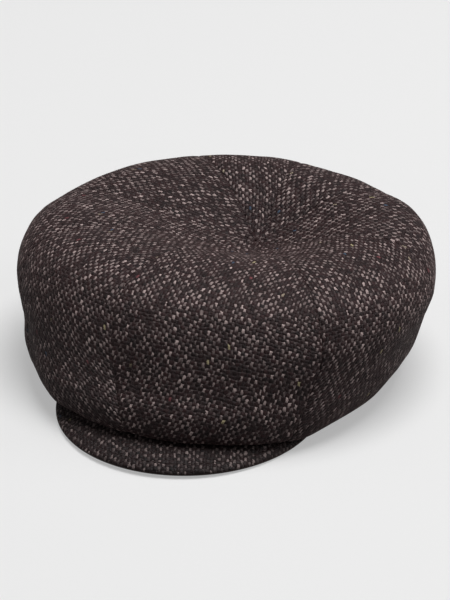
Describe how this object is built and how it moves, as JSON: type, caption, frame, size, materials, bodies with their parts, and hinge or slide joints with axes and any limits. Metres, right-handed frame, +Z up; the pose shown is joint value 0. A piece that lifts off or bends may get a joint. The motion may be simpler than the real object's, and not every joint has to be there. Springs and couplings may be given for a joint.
{
  "type": "flat cap",
  "caption": "Soft tweed flat cap with a full, puffed crown that sinks in its middle, a short stiff peak and a sweatband.",
  "frame": {"origin": "on the surface that the cap rests on, under the middle of its bounding box", "axes": "+Z up, -Y out over the peak to the front, +X to the wearer's left"},
  "size_m": [0.2712, 0.2842, 0.0998],
  "materials": {
    "tweed": "coarse wool tweed, near-black brown ground with staggered pinkish-grey slubs, matt",
    "band_leather": "thin brown leather, soft satin"
  },
  "bodies": {
    "root": {"crown_panel_1": "tweed", "crown_panel_2": "tweed", "crown_panel_3": "tweed", "crown_panel_4": "tweed", "crown_panel_5": "tweed", "crown_panel_6": "tweed", "crown_panel_7": "tweed", "crown_panel_8": "tweed", "peak": "tweed", "sweatband": "band_leather"}
  },
  "joints": []
}
